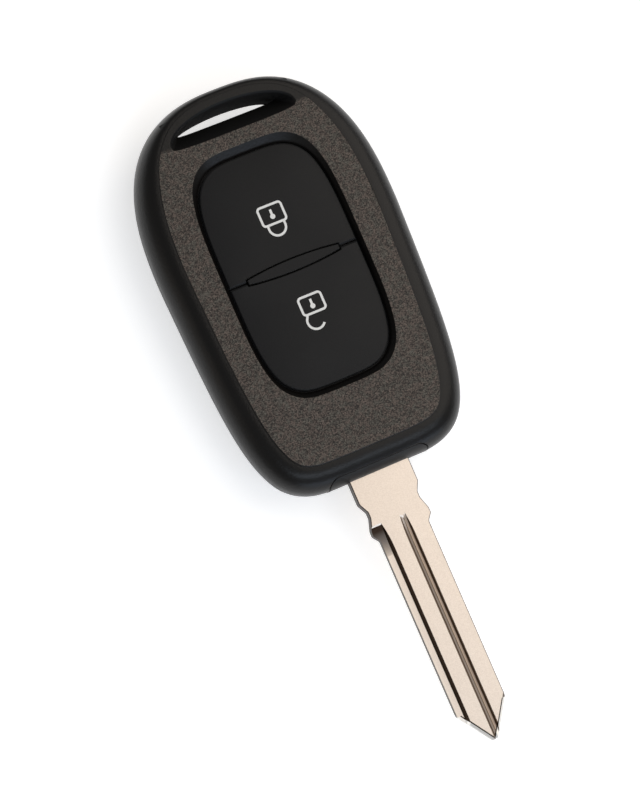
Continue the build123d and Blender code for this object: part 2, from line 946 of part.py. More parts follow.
def tact_switch(name, y):
    """Body, cover, snap dome, plunger and terminals of one tact switch, centred at y."""
    body_top = board_top + switch_height
    cup_floor = board_top + switch_base
    foot_top = body_top - plunger_foot_gap
    with BuildPart() as body:
        with BuildSketch(level(board_top)):
            with Locations((0, y)):
                Rectangle(switch_side, switch_side)
        extrude(amount=switch_height)
        with BuildSketch(level(cup_floor)):
            with Locations((0, y)):
                Circle(switch_cup_radius)
        extrude(amount=switch_height, mode=Mode.SUBTRACT)
    save(body, f"{name}_switch_body")
    with BuildPart() as cover:
        with BuildSketch(level(body_top)):
            with Locations((0, y)):
                RectangleRounded(
                    switch_side - 2 * cover_inset,
                    switch_side - 2 * cover_inset,
                    plunger_radius / 4,
                )
                Circle(plunger_radius + plunger_fit, mode=Mode.SUBTRACT)
        extrude(amount=cover_thickness)
    save(cover, f"{name}_switch_cover")
    with BuildPart() as dome:
        with BuildSketch(level(cup_floor)):
            with Locations((0, y)):
                Circle(dome_radius)
        extrude(amount=dome_thickness)
        chamfer(dome.faces().sort_by(Axis.Z)[-1].edges(), length=dome_thickness / 2)
    save(dome, f"{name}_switch_dome")
    with BuildPart() as plunger:
        with BuildSketch(level(foot_top - plunger_foot_height)):
            with Locations((0, y)):
                Circle(plunger_foot_radius)
        extrude(amount=plunger_foot_height)
        with BuildSketch(level(foot_top)):
            with Locations((0, y)):
                Circle(plunger_radius)
        extrude(amount=plunger_top - foot_top)
        chamfer(plunger.faces().sort_by(Axis.Z)[-1].edges(), length=plunger_radius / 8)
    save(plunger, f"{name}_switch_plunger")
    reach = switch_side / 2 + terminal_reach / 2
    row = switch_side / 2 - terminal_width
    with BuildPart() as terminals:
        with BuildSketch(level(board_top)):
            with Locations(*[(i * reach, y + j * row) for i in (-1, 1) for j in (-1, 1)]):
                Rectangle(terminal_reach, terminal_width)
        extrude(amount=terminal_thickness)
    save(terminals, f"{name}_switch_terminals")


tact_switch("lock", lock_switch_y)
tact_switch("unlock", unlock_switch_y)

# Coin cell: the cap faces the floor, and a gasket parts it from the can
cap_place = (0, cell_middle)
gasket_level = cell_level + cap_thickness - gasket_height
with BuildPart() as cell_cap:
    with BuildSketch(level(cell_level)):
        with Locations(cap_place):
            Circle(cap_radius)
    extrude(amount=cap_thickness)
save(cell_cap, "cell_cap")

with BuildPart() as cell_gasket:
    with BuildSketch(level(gasket_level)):
        with Locations(cap_place):
            Circle(cap_radius + gasket_width)
            Circle(cap_radius, mode=Mode.SUBTRACT)
    extrude(amount=gasket_height)
save(cell_gasket, "cell_gasket")

with BuildPart() as cell_can:
    with BuildSketch(level(gasket_level)):
        with Locations(cap_place):
            Circle(cell_radius)
    extrude(amount=cell_top - gasket_level)
    chamfer(cell_can.faces().sort_by(Axis.Z)[-1].edges(), length=gasket_height)
    with BuildSketch(level(gasket_level)):
        with Locations(cap_place):
            Circle(cap_radius + gasket_width)
    extrude(amount=gasket_height, mode=Mode.SUBTRACT)
save(cell_can, "cell_can")

# Positive contact: a strap over the can, with two feet soldered under the board
half = positive_length / 2
with BuildPart() as positive_contact:
    with BuildSketch(Plane.XZ.offset(-cell_middle)):
        with BuildLine():
            Polyline(
                (-half, board_level),
                (-half, cell_top),
                (half, cell_top),
                (half, board_level),
                (half - contact_sheet, board_level),
                (half - contact_sheet, cell_top + contact_sheet),
                (contact_sheet - half, cell_top + contact_sheet),
                (contact_sheet - half, board_level),
                close=True,
            )
        make_face()
    extrude(amount=contact_width / 2, both=True)
save(positive_contact, "positive_contact")

# Negative contact: a strip under the cap, with a riser beside the can up to the board
riser_y = cell_middle + cell_radius + riser_gap
with BuildPart() as negative_contact:
    with BuildSketch(Plane.YZ):
        with BuildLine():
            Polyline(
                (cell_middle - cap_radius + negative_inset, contact_level),
                (riser_y + contact_sheet, contact_level),
                (riser_y + contact_sheet, board_level),
                (riser_y, board_level),
                (riser_y, cell_level),
                (cell_middle - cap_radius + negative_inset, cell_level),
                close=True,
            )
        make_face()
    extrude(amount=contact_width / 2, both=True)
save(negative_contact, "negative_contact")

# Controller chip with a row of leads on each long side
chip_bottom = board_top + chip_lift
with BuildPart() as controller_chip:
    with BuildSketch(level(chip_bottom)):
        with Locations((0, opening_middle)):
            Rectangle(chip_length, chip_width)
    extrude(amount=chip_height)
    with BuildSketch(level(board_top)):
        for side in (-1, 1):
            with Locations((0, opening_middle + side * (chip_width + lead_reach) / 2)):
                with GridLocations(lead_pitch, 1, lead_count, 1):
                    Rectangle(lead_width, lead_reach + 2 * lead_thickness)
    extrude(amount=chip_lift + lead_thickness)
save(controller_chip, "controller_chip")

with BuildPart() as crystal:
    with BuildSketch(level(board_top)):
        with Locations((-crystal_from_axis, opening_middle)):
            RectangleRounded(crystal_size[0], crystal_size[1], crystal_size[2] / 4)
    extrude(amount=crystal_size[2])
save(crystal, "crystal")


def chip_group(label, x):
    """A row of small surface-mounted parts beside the controller chip."""
    with BuildPart() as group:
        with BuildSketch(level(board_top)):
            with Locations((x, opening_middle)):
                with GridLocations(1, passive_pitch, 1, passive_count):
                    Rectangle(passive_size[0], passive_size[1])
        extrude(amount=passive_size[2])
    save(group, label)


chip_group("ceramic_capacitors", passive_from_axis)
chip_group("chip_resistors", passive_from_axis + passive_pitch + passive_size[0])

# Transponder coil: a ferrite core with end flanges, and the winding between them
coil_y = ring_end - coil_from_ring_end
flange_x = (coil_length - coil_flange) / 2
with BuildPart() as coil_core:
    with BuildSketch(level(board_level - coil_height)):
        with Locations((-flange_x, coil_y), (flange_x, coil_y)):
            Rectangle(coil_flange, coil_width)
    extrude(amount=coil_height)
    with BuildSketch(level(board_level - coil_height * (1 + coil_core_share) / 2)):
        with Locations((0, coil_y)):
            Rectangle(coil_length - coil_flange, coil_width * coil_core_share)
    extrude(amount=coil_height * coil_core_share)
save(coil_core, "transponder_coil_core")

with BuildPart() as coil_winding:
    with BuildSketch(Plane.YZ.offset(coil_flange - coil_length / 2)):
        with Locations((coil_y, board_level - coil_height / 2)):
            RectangleRounded(coil_width - winding_gap, coil_height - winding_gap, coil_height / 3)
            Rectangle(coil_width * coil_core_share, coil_height * coil_core_share, mode=Mode.SUBTRACT)
    extrude(amount=coil_length - 2 * coil_flange)
save(coil_winding, "transponder_coil_winding")
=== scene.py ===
# %% [markdown]
# # A two-button car key in Blender
# The key comes in as a fixed frame: every rigid piece already has its true size and place, in metres.
# Blender gives it its looks: the finish of each moulded, rubber and metal surface, a studio and a camera.

# %% Load the frame
import math

import bmesh
import bpy
import mathutils
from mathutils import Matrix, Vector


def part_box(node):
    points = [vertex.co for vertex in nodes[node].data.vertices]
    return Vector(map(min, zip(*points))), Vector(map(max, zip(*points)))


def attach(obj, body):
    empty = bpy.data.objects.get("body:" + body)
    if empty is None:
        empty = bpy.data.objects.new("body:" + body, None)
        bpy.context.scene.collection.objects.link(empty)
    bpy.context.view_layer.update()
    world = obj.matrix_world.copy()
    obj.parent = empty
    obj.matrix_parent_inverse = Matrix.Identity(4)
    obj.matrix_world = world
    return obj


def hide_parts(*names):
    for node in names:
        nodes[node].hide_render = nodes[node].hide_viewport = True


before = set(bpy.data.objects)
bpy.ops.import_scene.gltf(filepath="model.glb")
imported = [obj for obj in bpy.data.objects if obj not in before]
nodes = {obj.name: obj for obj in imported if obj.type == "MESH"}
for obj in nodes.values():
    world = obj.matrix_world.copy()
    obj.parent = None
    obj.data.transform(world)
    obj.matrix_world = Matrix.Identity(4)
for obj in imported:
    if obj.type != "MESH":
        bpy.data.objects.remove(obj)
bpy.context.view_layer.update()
scene = bpy.context.scene
MM = 0.001
print("nodes:", len(nodes))


# %% [markdown]
# Colours are given as sRGB hex values, but Blender's shaders work in linear light. One function turns the
# first into the second, so that a colour in this file reads as a painter would write it.

# %% Colour from a hex value
def colour(hex_value):
    """Linear, opaque colour from an sRGB hex value."""
    channels = [int(hex_value[i:i + 2], 16) / 255 for i in (1, 3, 5)]
    linear = [c / 12.92 if c <= 0.04045 else ((c + 0.055) / 1.055) ** 2.4 for c in channels]
    return (*linear, 1.0)


print("#808080 in linear light:", [round(c, 3) for c in colour("#808080")])


# %% [markdown]
# A material is a small graph. One helper adds any node, sets its fields and wires its inputs, so each
# finish below reads as a list of steps. A value in `inputs` is either a number or colour for the socket,
# or another node's output to link to it. With `output` the helper returns that output of the new node,
# ready for the next step. The Mix node has its own sockets for each type of data, so the numbers of the
# ones for colours and for plain numbers get names.

# %% Helpers for node graphs
MATH = "ShaderNodeMath"
STRETCH = "ShaderNodeMapRange"
NOISE = "ShaderNodeTexNoise"
MIX = "ShaderNodeMix"
COLOUR_A, COLOUR_B, COLOUR_OUT = 6, 7, 2
NUMBER_A, NUMBER_B, NUMBER_OUT = 2, 3, 0


def wire(tree, node, inputs):
    """Set a node's sockets to values, or link other nodes' outputs to them."""
    for socket, value in inputs.items():
        if isinstance(value, bpy.types.NodeSocket):
            tree.links.new(value, node.inputs[socket])
        else:
            node.inputs[socket].default_value = value


def add_node(tree, kind, inputs=None, output=None, **settings):
    """Add a node of any kind, with its settings and links, and return it or one of its outputs."""
    node = tree.nodes.new(kind)
    for name, value in settings.items():
        setattr(node, name, value)
    wire(tree, node, inputs or {})
    return node if output is None else node.outputs[output]


def empty_tree(owner):
    """Node tree of a material or a world, with nothing in it."""
    owner.use_nodes = True
    owner.node_tree.nodes.clear()
    return owner.node_tree


def new_material(name):
    """New material with a Principled surface, which is returned with its tree."""
    material = bpy.data.materials.new(name)
    tree = empty_tree(material)
    output = add_node(tree, "ShaderNodeOutputMaterial")
    surface = add_node(tree, "ShaderNodeBsdfPrincipled")
    wire(tree, output, {"Surface": surface.outputs["BSDF"]})
    return material, tree, surface


# %% [markdown]
# The photograph was taken from above, a little to the left of the key and towards its blade, with the
# camera rolled so that the key lies on a slant. The lens is a long one, so the two ends of the key show
# at nearly the same scale. The place, direction and roll were solved from the outline of the key.

# %% Camera
IMAGE_WIDTH_PX = 640
FOCAL_PX = 2286.0
SENSOR_MM = 36.0
CAMERA_PLACE_MM = (-77.84, -20.56, 364.88)
TOWARDS_CAMERA = (-0.2012, -0.0644, 0.9774)
CAMERA_ROLL = -0.4098       # in radians
NEAREST_SEEN = 10 * MM
FARTHEST_SEEN = 20          # in metres
camera_place = mathutils.Vector(CAMERA_PLACE_MM) * MM
to_camera = mathutils.Vector(TOWARDS_CAMERA).normalized()
upward = (mathutils.Vector((0, 1, 0)) - to_camera.y * to_camera).normalized()
rightward = upward.cross(to_camera)
camera_x = math.cos(CAMERA_ROLL) * rightward + math.sin(CAMERA_ROLL) * upward
camera_y = -math.sin(CAMERA_ROLL) * rightward + math.cos(CAMERA_ROLL) * upward
camera_turn = mathutils.Matrix((camera_x, camera_y, to_camera)).transposed().to_4x4()
camera_data = bpy.data.cameras.new("camera")
camera_data.sensor_fit = "HORIZONTAL"
camera_data.sensor_width = SENSOR_MM
camera_data.lens = SENSOR_MM * FOCAL_PX / IMAGE_WIDTH_PX
camera_data.clip_start = NEAREST_SEEN
camera_data.clip_end = FARTHEST_SEEN
camera = bpy.data.objects.new("camera", camera_data)
camera.matrix_world = mathutils.Matrix.Translation(camera_place) @ camera_turn
scene.collection.objects.link(camera)
scene.camera = camera
print("lens in mm:", round(camera_data.lens, 1), "distance in mm:", round(camera_place.length / MM))


# %% [markdown]
# A product photograph on white is lit so that the floor burns out to white while the object keeps its
# tones. Here the floor is a pale matt sheet that also glows a little where it is seen, also in gloss:
# where the lamps reach it, it is white, and under the key it keeps a soft shadow.

# %% Floor
PAPER_GLOW = 0.5
FLOOR_HALF_SIZE = 3.0       # in metres


def seen_share(tree):
    """1 on rays that show a surface as it looks: from the camera, in gloss or through something clear."""
    path = add_node(tree, "ShaderNodeLightPath").outputs
    seen = add_node(tree, MATH, {0: path["Is Camera Ray"], 1: path["Is Glossy Ray"]}, 0,
                    operation="MAXIMUM")
    return add_node(tree, MATH, {0: seen, 1: path["Is Transmission Ray"]}, 0, operation="MAXIMUM")


def paper_material():
    """White seamless paper, lit to white for the camera, in reflections and through clear things."""
    material = bpy.data.materials.new("white_seamless_paper")
    tree = empty_tree(material)
    strength = add_node(tree, MATH, {0: seen_share(tree), 1: PAPER_GLOW}, 0, operation="MULTIPLY")
    paper = add_node(tree, "ShaderNodeBsdfDiffuse", {"Color": colour("#f2f2f2")}, 0)
    glow = add_node(tree, "ShaderNodeEmission", {"Color": colour("#ffffff"), "Strength": strength}, 0)
    both = add_node(tree, "ShaderNodeAddShader", {0: paper, 1: glow}, 0)
    add_node(tree, "ShaderNodeOutputMaterial", {"Surface": both})
    return material


floor_mesh = bpy.data.meshes.new("floor")
floor_corners = [(x * FLOOR_HALF_SIZE, y * FLOOR_HALF_SIZE, 0.0)
                 for x, y in ((-1, -1), (1, -1), (1, 1), (-1, 1))]
floor_mesh.from_pydata(floor_corners, [], [(0, 1, 2, 3)])
floor_mesh.materials.append(paper_material())
floor = bpy.data.objects.new("floor", floor_mesh)
scene.collection.objects.link(floor)
print("floor, metres across:", 2 * FLOOR_HALF_SIZE)


# %% [markdown]
# The world does two jobs. As a light it is one even, soft tone all round. Where it is seen, also in
# gloss, it is pale at the horizon and dims towards the ceiling, so that flat black faces stay black
# while the rounded border picks up a paler edge.

# %% Surroundings
ROOM_STRENGTH = 0.4
HORIZON_STRENGTH = 0.55
CEILING_STRENGTH = 0.28
CEILING_RISE = 0.35         # upward share of a direction at which the ceiling's tone is reached
world = bpy.data.worlds.new("studio")
scene.world = world
world_tree = empty_tree(world)
direction = add_node(world_tree, "ShaderNodeTexCoord", output="Generated")
rise = add_node(world_tree, "ShaderNodeSeparateXYZ", {0: direction}, "Z")
dome = add_node(world_tree, STRETCH, {
    "Value": rise,
    "From Min": 0.0,
    "From Max": CEILING_RISE,
    "To Min": HORIZON_STRENGTH,
    "To Max": CEILING_STRENGTH,
}, 0)
white = colour("#ffffff")
room = add_node(world_tree, "ShaderNodeBackground", {"Color": white, "Strength": ROOM_STRENGTH}, 0)
backdrop = add_node(world_tree, "ShaderNodeBackground", {"Color": white, "Strength": dome}, 0)
shown = add_node(world_tree, "ShaderNodeMixShader", {0: seen_share(world_tree), 1: room, 2: backdrop}, 0)
add_node(world_tree, "ShaderNodeOutputWorld", {"Surface": shown})
print("room:", ROOM_STRENGTH, "horizon:", HORIZON_STRENGTH, "ceiling:", CEILING_STRENGTH)


# %% [markdown]
# The key light is a large soft box, high on the right. Three long strips draw the thin bright lines
# along the rounded border: one stands low on the left, one hangs high on the side of the blade and one
# lies low beyond its tip. All lamps face one point on the head.

# %% Lamps
LAMPS_AIM = mathutils.Vector((0, 20, 10)) * MM


def soft_box(name, place_mm, size_mm, watts, tint):
    """Rectangular area lamp that faces the head of the key."""
    data = bpy.data.lights.new(name, "AREA")
    data.shape = "RECTANGLE"
    data.size = size_mm[0] * MM
    data.size_y = size_mm[1] * MM
    data.energy = watts
    data.color = colour(tint)[:3]
    place = mathutils.Vector(place_mm) * MM
    facing = (place - LAMPS_AIM).to_track_quat("Z", "Y").to_matrix().to_4x4()
    lamp = bpy.data.objects.new(name, data)
    lamp.matrix_world = mathutils.Matrix.Translation(place) @ facing
    scene.collection.objects.link(lamp)
    print(name, "at", place_mm, "mm, watts:", watts)


soft_box("key_light", (270, 60, 360), (400, 520), 0.9, "#fff6ec")
soft_box("left_strip", (-620, 60, 120), (120, 700), 0.2, "#fff1e2")
soft_box("lower_strip", (0, -340, 520), (560, 130), 0.9, "#dbe7f6")
soft_box("low_strip", (60, -620, 140), (700, 120), 0.8, "#cfe0f6")


# %% [markdown]
# Every finish has a fine relief, and a moulded edge is never quite sharp. A Bump node turns a height
# into shading, and a Bevel node under it rounds the edges in shading alone. Both take their size in
# millimetres, so that it can be judged against the real surface.

# %% Relief of a surface
EDGE_SAMPLES = 6


def relief(tree, height, depth_mm, edge_mm=0.0):
    """Bump of a real depth, over edges that are rounded by a real radius."""
    inputs = {"Height": height, "Distance": depth_mm * MM, "Strength": 1.0}
    if edge_mm:
        inputs["Normal"] = add_node(tree, "ShaderNodeBevel", {"Radius": edge_mm * MM}, 0,
                                    samples=EDGE_SAMPLES)
    return add_node(tree, "ShaderNodeBump", inputs, 0)


# %% [markdown]
# ABS plastic out of a spark-eroded mould has a fine, even grain that sparkles. On the key this grain
# lies on the flat face only, up to the arch of the key-ring slot. The ring bar, the rounded border and
# the window's bevel come from a polished part of the mould and are satin smooth. Both finishes belong
# to one piece, so one material holds both and tells them apart by place: the arch is half an ellipse,
# and a point below it, at the height of the face, has the grain.

# %% Where the grain lies
face_height_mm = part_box("front_shell")[1].z / MM
FACE_TOLERANCE_MM = 0.03
SLOT_HALF_WIDTH_MM = 10.9
SLOT_TIP_Y_MM = 49.6
SLOT_CROWN_Y_MM = 53.2
GRAIN_FADE_MM = 0.8
print("height of the grained face in mm:", round(face_height_mm, 2))


def grain_mask(tree, place):
    """1 on the flat face below the arch of the slot, 0 on the rest of the shell."""
    axes = add_node(tree, "ShaderNodeSeparateXYZ", {0: place}).outputs
    across = add_node(tree, MATH, {0: axes["X"], 1: SLOT_HALF_WIDTH_MM * MM}, 0, operation="DIVIDE")
    squared = add_node(tree, MATH, {0: across, 1: across}, 0, operation="MULTIPLY")
    left_over = add_node(tree, MATH, {0: 1.0, 1: squared}, 0, operation="SUBTRACT", use_clamp=True)
    root = add_node(tree, MATH, {0: left_over, 1: 0.5}, 0, operation="POWER")
    arch = add_node(tree, MATH, {0: root, 1: (SLOT_CROWN_Y_MM - SLOT_TIP_Y_MM) * MM}, 0,
                    operation="MULTIPLY")
    limit = add_node(tree, MATH, {0: arch, 1: SLOT_TIP_Y_MM * MM}, 0, operation="ADD")
    short_of_it = add_node(tree, MATH, {0: limit, 1: axes["Y"]}, 0, operation="SUBTRACT")
    below = add_node(tree, STRETCH, {"Value": short_of_it, "From Max": GRAIN_FADE_MM * MM}, 0)
    on_top = add_node(tree, MATH, {0: axes["Z"], 1: (face_height_mm - FACE_TOLERANCE_MM) * MM}, 0,
                      operation="GREATER_THAN")
    return add_node(tree, MATH, {0: below, 1: on_top}, 0, operation="MULTIPLY")


# %% [markdown]
# The walls of the key-ring slot are steep and close together, so little light reaches them. A second mask
# finds them by place and by how steep they stand, and both shells get a painted shade there: a near-black
# colour and a high roughness.

# %% Where the slot gets painted shade
SLOT_MIDDLE_Y_MM = 50.8
SLOT_REACH_MM = 2.9
SLOT_DARK_HALF_MM = SLOT_HALF_WIDTH_MM + 0.2        # takes in the ends of the slot
# Steeper surfaces in the slot get the full painted shade, and flatter ones keep their tone.
SLOT_STEEP = 0.5            # a surface whose normal points up by less than this is fully dark
SLOT_FLAT = 0.8             # one whose normal points up by more than this keeps its tone
print("slot walls, mm across:", round(2 * SLOT_DARK_HALF_MM, 1))


def painted_slot_shade_mask(tree, place, facing):
    """1 on the walls of the key-ring slot, which get painted shade, 0 elsewhere."""
    axes = add_node(tree, "ShaderNodeSeparateXYZ", {0: place}).outputs
    upright = add_node(tree, "ShaderNodeSeparateXYZ", {0: facing}, "Z")
    along = add_node(tree, MATH, {0: axes["Y"], 1: SLOT_MIDDLE_Y_MM * MM, 2: SLOT_REACH_MM * MM}, 0,
                     operation="COMPARE")
    across = add_node(tree, MATH, {0: axes["X"], 1: 0.0, 2: SLOT_DARK_HALF_MM * MM}, 0,
                      operation="COMPARE")
    near = add_node(tree, MATH, {0: along, 1: across}, 0, operation="MULTIPLY")
    steep = add_node(tree, STRETCH, {
        "Value": upright,
        "From Min": SLOT_STEEP,
        "From Max": SLOT_FLAT,
        "To Min": 1.0,
        "To Max": 0.0,
    }, 0)
    return add_node(tree, MATH, {0: near, 1: steep}, 0, operation="MULTIPLY")


# %% [markdown]
# The grain itself is noise, which gives the real relief. Its colour is a painted sheen with small painted
# glints in it, standing in for the light that the grain scatters, and the light parts of these glints drift
# between a warm and a cool tint. The real grain is about 0.1 mm across, which would blur to a plain grey at
# this distance, so it is drawn at 0.2 mm, with glint cells of 0.17 mm.

# %% Grain of the face, with painted sheen and glints
GRAIN_MM = 0.2
GLINT_CELL_MM = 0.17
GLINT_CELL_SHARE = 0.4
TINT_PATCH_MM = 0.8
TINT_SHARE = 0.3
print("grains in a square centimetre, about:", round((10 / GRAIN_MM) ** 2))


def grain_with_painted_glints(tree, place):
    """Height of the grain, and its colour: a painted sheen with painted glints."""
    grain = add_node(tree, NOISE, {"Vector": place, "Scale": 1 / (GRAIN_MM * MM), "Detail": 1.0}, "Fac")
    glint_cells = add_node(tree, "ShaderNodeTexVoronoi", {"Vector": place, "Scale": 1 / (GLINT_CELL_MM * MM)}, "Color")
    chance = add_node(tree, "ShaderNodeSeparateColor", {0: glint_cells}, 0)
    both = add_node(tree, MIX, {0: GLINT_CELL_SHARE, COLOUR_A: grain, COLOUR_B: chance}, COLOUR_OUT,
                    data_type="RGBA")
    glint = add_node(tree, STRETCH, {"Value": both, "From Min": 0.32, "From Max": 0.78}, 0)
    drift = add_node(tree, NOISE, {"Vector": place, "Scale": 1 / (TINT_PATCH_MM * MM), "Detail": 2.0},
                     "Fac")
    coolness = add_node(tree, STRETCH, {"Value": drift, "From Min": 0.45, "From Max": 0.6}, 0)
    tint = add_node(tree, MIX, {0: coolness, COLOUR_A: colour("#6b5148"), COLOUR_B: colour("#4d5148")},
                    COLOUR_OUT, data_type="RGBA")
    light = add_node(tree, MIX, {0: TINT_SHARE, COLOUR_A: colour("#6b645c"), COLOUR_B: tint}, COLOUR_OUT,
                     data_type="RGBA")
    glint_colour = add_node(tree, MIX, {0: glint, COLOUR_A: colour("#1f1b18"), COLOUR_B: light}, COLOUR_OUT,
                     data_type="RGBA")
    return grain, glint_colour


# %% [markdown]
# The satin plastic is close to black and nearly even. The rear shell and the blade's carrier have it
# all over. The front shell has it wherever the grain's mask is 0, so its colour, height and roughness
# are each mixed from a satin and a grained value by that one mask.

# %% Grained and satin ABS of the shells
SATIN_PATCH_MM = 3.0
SATIN_RELIEF_MM = 0.35
SATIN_DEPTH_MM = 0.01
GRAIN_DEPTH_MM = 0.03
SHELL_EDGE_MM = 0.1
SLOT_ROUGHNESS = 0.95


def shell_material(name, grained):
    """Black ABS: satin, and with a sparkling grain on its face where that is asked for."""
    material, tree, surface = new_material(name)
    coordinates = add_node(tree, "ShaderNodeTexCoord").outputs
    place = coordinates["Object"]
    cloud = add_node(tree, NOISE, {"Vector": place, "Scale": 1 / (SATIN_PATCH_MM * MM), "Detail": 2.0},
                     "Fac")
    base = add_node(tree, MIX, {0: cloud, COLOUR_A: colour("#090807"), COLOUR_B: colour("#0d0b0a")},
                    COLOUR_OUT, data_type="RGBA")
    height = add_node(tree, NOISE, {"Vector": place, "Scale": 1 / (SATIN_RELIEF_MM * MM), "Detail": 2.0},
                      "Fac")
    if grained:
        face = grain_mask(tree, place)
        grain, grain_glint_colour = grain_with_painted_glints(tree, place)
        # The grained face's colour is a painted sheen with painted glints, over the real relief of the
        # grain.
        base = add_node(tree, MIX, {0: face, COLOUR_A: base, COLOUR_B: grain_glint_colour}, COLOUR_OUT,
                        data_type="RGBA")
        height = add_node(tree, MIX, {0: face, NUMBER_A: height, NUMBER_B: grain}, NUMBER_OUT,
                          data_type="FLOAT")
        rough = add_node(tree, STRETCH, {"Value": face, "To Min": 0.33, "To Max": 0.5}, 0)
    else:
        rough = add_node(tree, STRETCH, {"Value": height, "From Min": 0.3, "From Max": 0.7,
                                         "To Min": 0.34, "To Max": 0.42}, 0)
    # Painted shade: the slot's walls take a near-black colour and a high roughness, for the little light
    # that reaches them.
    slot_shade = painted_slot_shade_mask(tree, place, coordinates["Normal"])
    wire(tree, surface, {
        "Base Color": add_node(tree, MIX, {0: slot_shade, COLOUR_A: base, COLOUR_B: colour("#060607")},
                               COLOUR_OUT, data_type="RGBA"),
        "Roughness": add_node(tree, MIX, {0: slot_shade, NUMBER_A: rough, NUMBER_B: SLOT_ROUGHNESS},
                              NUMBER_OUT, data_type="FLOAT"),
        "Normal": relief(tree, height, GRAIN_DEPTH_MM if grained else SATIN_DEPTH_MM, SHELL_EDGE_MM),
        "IOR": 1.5,
        "Specular IOR Level": 0.28,
    })
    return material


grained_abs = shell_material("black_abs_grain_painted_glints", True)
satin_abs = shell_material("black_abs_satin_painted_slot_shade", False)
print("finishes of the shells:", grained_abs.name, satin_abs.name)


# %% [markdown]
# The keys are silicone rubber. It is matt, with a broad soft sheen where the light grazes it, and its
# surface is very slightly uneven, because it is moulded soft. A slow noise changes tone and roughness
# together, as dust and handling do, and a fine one gives the skin.

# %% Silicone rubber of the keys
RUBBER_PATCH_MM = 4.0
RUBBER_SKIN_MM = 0.16


def rubber_material():
    """Black silicone rubber, matt with a soft sheen."""
    material, tree, surface = new_material("black_silicone_rubber_moulded")
    place = add_node(tree, "ShaderNodeTexCoord", output="Object")
    cloud = add_node(tree, NOISE, {"Vector": place, "Scale": 1 / (RUBBER_PATCH_MM * MM), "Detail": 2.0},
                     "Fac")
    skin = add_node(tree, NOISE, {"Vector": place, "Scale": 1 / (RUBBER_SKIN_MM * MM), "Detail": 2.0},
                    "Fac")
    tone = add_node(tree, MIX, {0: cloud, COLOUR_A: colour("#0f0f10"), COLOUR_B: colour("#151516")},
                    COLOUR_OUT, data_type="RGBA")
    wire(tree, surface, {
        "Base Color": tone,
        "Roughness": add_node(tree, STRETCH, {"Value": cloud, "To Min": 0.5, "To Max": 0.6}, 0),
        "IOR": 1.43,
        "Specular IOR Level": 0.35,
        "Sheen Weight": 0.03,
        "Sheen Roughness": 0.4,
        "Normal": relief(tree, skin, depth_mm=0.012, edge_mm=0.12),
    })
    return material


rubber = rubber_material()
print("finish of the keys:", rubber.name)


# %% [markdown]
# The padlock symbols are an off-white resin printed into the keys. Printed resin is a little patchy and
# slightly glossier than the rubber round it, so its tone and roughness share one fine noise.

# %% Printed resin of the symbols
RESIN_PATCH_MM = 0.4
RESIN_SKIN_MM = 0.1


def inlay_material():
    """Off-white printed resin of the padlock symbols."""
    material, tree, surface = new_material("off_white_printed_resin")
    place = add_node(tree, "ShaderNodeTexCoord", output="Object")
    cloud = add_node(tree, NOISE, {"Vector": place, "Scale": 1 / (RESIN_PATCH_MM * MM), "Detail": 2.0},
                     "Fac")
    skin = add_node(tree, NOISE, {"Vector": place, "Scale": 1 / (RESIN_SKIN_MM * MM), "Detail": 2.0},
                    "Fac")
    tone = add_node(tree, MIX, {0: cloud, COLOUR_A: colour("#d8d8d6"), COLOUR_B: colour("#efefec")},
                    COLOUR_OUT, data_type="RGBA")
    wire(tree, surface, {
        "Base Color": tone,
        "Roughness": add_node(tree, STRETCH, {"Value": cloud, "To Min": 0.4, "To Max": 0.5}, 0),
        "IOR": 1.5,
        "Normal": relief(tree, skin, depth_mm=0.004),
    })
    return material


inlay = inlay_material()
print("finish of the symbols:", inlay.name)


# %% [markdown]
# The blade is a nickel-plated blank: a warm, pale metal. Its milled walls, the floor and corners of its
# channel and the curved start of a cut mirror the dark side of a room, and the slanted facets of its tip
# mirror the bright side. These reflections are painted into the colour by place, as painted shade and a
# painted highlight, in millimetres from the middle of the blade, because the cuts are so small that a
# reflection alone would miss them. The back has the same cuts, turned over, so the distance across changes
# sign there.

# %% Where the milling lies
blade_low, blade_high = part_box("key_blade")
BLADE_MIDDLE = (blade_low.z + blade_high.z) / 2
BLADE_HALF = (blade_high.z - blade_low.z) / 2
BLADE_HALF_WIDTH = 4.2 * MM
SUNK_DEPTH = 0.1 * MM
# Walls steeper than WALL_STEEP get the full painted shade, and walls flatter than WALL_FLAT get none.
WALL_STEEP = 0.72           # a surface whose normal stands less upright than this is a dark wall
WALL_FLAT = 0.9             # one whose normal stands more upright than this is none
CHANNEL_X = 0.6 * MM
CHANNEL_HALF = 0.8 * MM
CORNER_LINES_X = (-0.44 * MM, 0.56 * MM)    # from the middle of the channel
LINE_HALF = 0.1 * MM
MIDDLE_LINE_HALF = 0.06 * MM
LEDGE_X = -2.6 * MM
MILLING_START_Y = -17.9 * MM
RUN_IN_LENGTH = 5.5 * MM
RUN_IN_DARK = 1.2 * MM
RUN_IN_POWER = 0.4          # under 1, so that the dark tone lasts before it fades
TIP_Y = blade_low.y
TIP_LENGTH = 5.5 * MM
TIP_BEVEL = 0.5 * MM
TIP_SLANT = (0.83, -0.558)      # direction that a slanted edge of the tip faces
# Colour of the painted shade on the cuts, the run-in and the line beside the tip.
CUT_SHADE = "#33271f"
print("milling starts", round((MILLING_START_Y - TIP_Y) / MM, 1), "mm from the tip")


# %% [markdown]
# Each painted mark of light or shade on the milling is a number from 0 to 1 that depends on place, and for
# walls on slope. The channel is a band of the sunk face with a painted shade line in its middle and one in
# each corner. The painted shade covers steep walls outside the channel, and the start of the ledge, where
# the cutter runs in. At the tip, distance is measured along the direction that a slanted edge faces. All
# that lies outside the line gets a painted highlight there: the facets, and also the upright walls between
# them.

